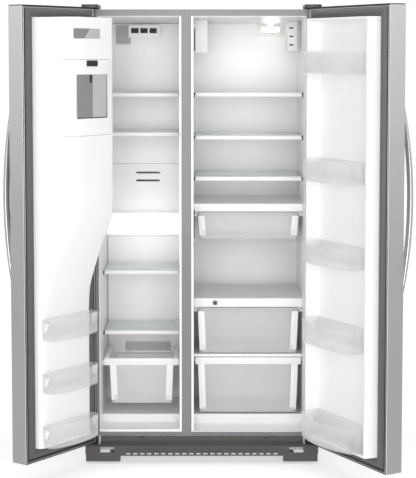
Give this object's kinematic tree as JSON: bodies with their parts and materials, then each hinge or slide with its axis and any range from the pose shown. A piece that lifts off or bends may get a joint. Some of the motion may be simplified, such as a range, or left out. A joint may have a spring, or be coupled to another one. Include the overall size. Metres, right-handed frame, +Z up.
{
  "type": "side by side refrigerator",
  "caption": "Side by side refrigerator and freezer with swinging doors, ice and water dispenser, glass shelves, clear door bins and sliding drawers.",
  "frame": {"origin": "on the floor, at the middle of the ground covered with both doors standing open (the cabinet's centre line is 17 mm to the left of it)", "axes": "+Z up, +X to the right as seen from the front, +Y towards the back, so the open doors are at -Y"},
  "size_m": [1.4943, 1.1099, 1.778],
  "materials": {
    "stainless": "satin",
    "grey_steel": "satin",
    "zinc_steel": "satin",
    "white_liner": "satin",
    "white_plastic": "satin",
    "clear_plastic": "gloss",
    "shelf_glass": "gloss",
    "frosted_clear": "satin",
    "foam": "matte",
    "dark_plastic": "matte",
    "black_steel": "satin",
    "grey_rubber": "matte",
    "black_enamel": "satin",
    "coil_metal": "satin",
    "lamp_glass": "gloss",
    "dark_gloss": "gloss"
  },
  "bodies": {
    "cabinet": {"outer_wrapper": "grey_steel", "rear_panel": "zinc_steel", "centre_mullion": "grey_steel", "front_bottom_rail": "grey_steel", "cabinet_foam": "foam", "freezer_liner": "white_liner", "fridge_liner": "white_liner", "base_pan": "zinc_steel", "base_grille": "dark_plastic", "levelling_feet": "dark_plastic", "rear_machine_cover": "zinc_steel", "power_inlet": "dark_plastic", "water_valve": "white_plastic", "compressor": "black_enamel", "condenser_coil": "black_steel", "drain_pan": "dark_plastic", "fan_motors": "zinc_steel", "evaporator_cover": "white_plastic", "freezer_duct_cover": "white_plastic", "evaporator_coil": "coil_metal", "lamp_covers": "frosted_clear", "lamps": "lamp_glass", "control_housing": "white_plastic", "filter_housing": "white_plastic", "shelf_frames": "white_plastic", "shelf_glass": "shelf_glass", "deli_cover": "white_plastic", "crisper_cover": "white_plastic", "crisper_frame": "white_plastic", "top_hinges": "black_steel", "hinge_covers": "dark_plastic", "bottom_hinges": "black_steel"},
    "freezer_door": {"freezer_door_skin": "stainless", "freezer_door_caps": "dark_plastic", "freezer_door_foam": "foam", "freezer_door_liner": "white_liner", "freezer_door_gasket": "grey_rubber", "freezer_door_handle": "stainless", "freezer_door_bins": "clear_plastic", "dispenser_housing": "dark_gloss"},
    "fridge_door": {"fridge_door_skin": "stainless", "fridge_door_caps": "dark_plastic", "fridge_door_foam": "foam", "fridge_door_liner": "white_liner", "fridge_door_gasket": "grey_rubber", "fridge_door_handle": "stainless", "fridge_door_bins": "clear_plastic"},
    "ice_bin": {"ice_bin": "white_plastic"},
    "ice_bin_latch": {"ice_bin_latch": "dark_plastic"},
    "ice_paddle": {"ice_paddle": "dark_gloss"},
    "water_paddle": {"water_paddle": "dark_gloss"},
    "deli_drawer": {"deli_drawer": "clear_plastic"},
    "upper_crisper": {"upper_crisper": "clear_plastic"},
    "lower_crisper": {"lower_crisper": "clear_plastic"},
    "freezer_drawer": {"freezer_drawer": "clear_plastic"},
    "humidity_slider": {"humidity_slider": "white_plastic"},
    "evaporator_fan": {"evaporator_fan_blade": "dark_plastic"},
    "condenser_fan": {"condenser_fan_blade": "dark_plastic"},
    "front_rollers": {"front_rollers": "dark_plastic"},
    "rear_rollers": {"rear_rollers": "dark_plastic"}
  },
  "joints": [
    {"name": "freezer_door_hinge", "type": "hinge", "parent": "cabinet", "child": "freezer_door", "pos_m": [-0.4565, -0.1045, 0.9], "axis": [0, 0, -1], "range_deg": [-126, 4]},
    {"name": "fridge_door_hinge", "type": "hinge", "parent": "cabinet", "child": "fridge_door", "pos_m": [0.4225, -0.1045, 0.9], "axis": [0, 0, 1], "range_deg": [-119.3, 6.7]},
    {"name": "deli_drawer_slide", "type": "slide", "parent": "cabinet", "child": "deli_drawer", "axis": [0, -1, 0], "range_m": [0, 0.22]},
    {"name": "upper_crisper_slide", "type": "slide", "parent": "cabinet", "child": "upper_crisper", "axis": [0, -1, 0], "range_m": [0, 0.22]},
    {"name": "lower_crisper_slide", "type": "slide", "parent": "cabinet", "child": "lower_crisper", "axis": [0, -1, 0], "range_m": [0, 0.22]},
    {"name": "freezer_drawer_slide", "type": "slide", "parent": "cabinet", "child": "freezer_drawer", "axis": [0, -1, 0], "range_m": [0, 0.22]},
    {"name": "humidity_slide", "type": "slide", "parent": "cabinet", "child": "humidity_slider", "axis": [1, 0, 0], "range_m": [-0.012, 0.012]},
    {"name": "ice_bin_slide", "type": "slide", "parent": "freezer_door", "child": "ice_bin", "axis": [0.809, -0.5878, 0], "range_m": [0, 0.12]},
    {"name": "ice_bin_latch_press", "type": "slide", "parent": "ice_bin", "child": "ice_bin_latch", "axis": [-0.809, 0.5878, 0], "range_m": [0, 0.003], "stiffness_N_per_m": 600},
    {"name": "ice_paddle_pivot", "type": "hinge", "parent": "freezer_door", "child": "ice_paddle", "pos_m": [-0.5382, -0.23056, 1.186], "axis": [-0.5878, -0.809, 0], "range_deg": [0, 10], "stiffness_Nm_per_rad": 0.4},
    {"name": "water_paddle_pivot", "type": "hinge", "parent": "freezer_door", "child": "water_paddle", "pos_m": [-0.57464, -0.28071, 1.186], "axis": [-0.5878, -0.809, 0], "range_deg": [0, 10], "stiffness_Nm_per_rad": 0.4},
    {"name": "evaporator_fan_spin", "type": "hinge", "parent": "cabinet", "child": "evaporator_fan", "pos_m": [-0.257, 0.4155, 0.77], "axis": [0, 1, 0], "continuous": true},
    {"name": "condenser_fan_spin", "type": "hinge", "parent": "cabinet", "child": "condenser_fan", "pos_m": [0.003, 0.4755, 0.15], "axis": [1, 0, 0], "continuous": true},
    {"name": "front_rollers_roll", "type": "hinge", "parent": "cabinet", "child": "front_rollers", "pos_m": [-0.017, 0.0055, 0.024], "axis": [1, 0, 0], "continuous": true},
    {"name": "rear_rollers_roll", "type": "hinge", "parent": "cabinet", "child": "rear_rollers", "pos_m": [-0.017, 0.4855, 0.019], "axis": [1, 0, 0], "continuous": true}
  ]
}
